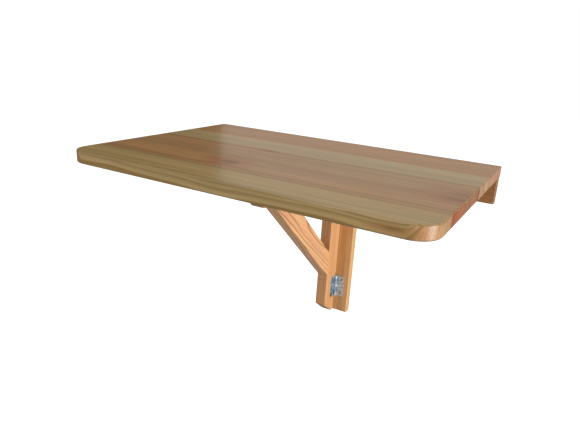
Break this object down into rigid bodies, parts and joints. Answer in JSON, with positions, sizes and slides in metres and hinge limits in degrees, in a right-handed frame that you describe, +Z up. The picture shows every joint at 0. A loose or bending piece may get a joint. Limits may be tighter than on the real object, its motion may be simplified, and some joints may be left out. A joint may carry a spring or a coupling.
{
  "type": "wall-mounted drop leaf table",
  "caption": "Wall-mounted drop leaf table: edge-glued wooden top hinged on a wall rail, held up by a triangular bracket that swings sideways on butt hinges.",
  "frame": {"origin": "centre of the wall rail's back face, which lies on the wall", "axes": "+Y into the wall, +X along the wall to the right as seen from the room, +Z up"},
  "size_m": [0.65, 0.45, 0.392],
  "materials": {
    "top_wood": "glossy clear varnish",
    "frame_wood": "satin clear varnish",
    "dowel_wood": "unfinished",
    "hinge_steel": "zinc plated, brushed",
    "screw_steel": "zinc plated"
  },
  "bodies": {
    "wall_frame": {"table_board_back": "top_wood", "table_board_second": "top_wood", "table_board_middle": "top_wood", "table_board_fourth": "top_wood", "table_board_front": "top_wood", "wall_rail": "frame_wood", "wall_post": "frame_wood", "post_dowels": "dowel_wood", "upper_bracket_hinge_post_plate": "hinge_steel", "lower_bracket_hinge_post_plate": "hinge_steel", "upper_bracket_hinge_pin": "hinge_steel", "lower_bracket_hinge_pin": "hinge_steel", "left_top_hinge_rail_plate": "hinge_steel", "left_top_hinge_board_plate": "hinge_steel", "left_top_hinge_pin": "hinge_steel", "right_top_hinge_rail_plate": "hinge_steel", "right_top_hinge_board_plate": "hinge_steel", "right_top_hinge_pin": "hinge_steel", "post_plate_screws": "screw_steel", "rail_plate_screws": "screw_steel", "board_plate_screws": "screw_steel"},
    "bracket": {"bracket_upright": "frame_wood", "bracket_arm": "frame_wood", "bracket_brace": "frame_wood", "arm_dowels": "dowel_wood", "brace_dowels": "dowel_wood", "upper_bracket_hinge_bracket_plate": "hinge_steel", "lower_bracket_hinge_bracket_plate": "hinge_steel", "bracket_plate_screws": "screw_steel"}
  },
  "joints": [
    {"name": "bracket_swing", "type": "hinge", "parent": "wall_frame", "child": "bracket", "pos_m": [0.0188, -0.0208, -0.182], "axis": [0, 0, 1], "range_deg": [0, 90]}
  ]
}
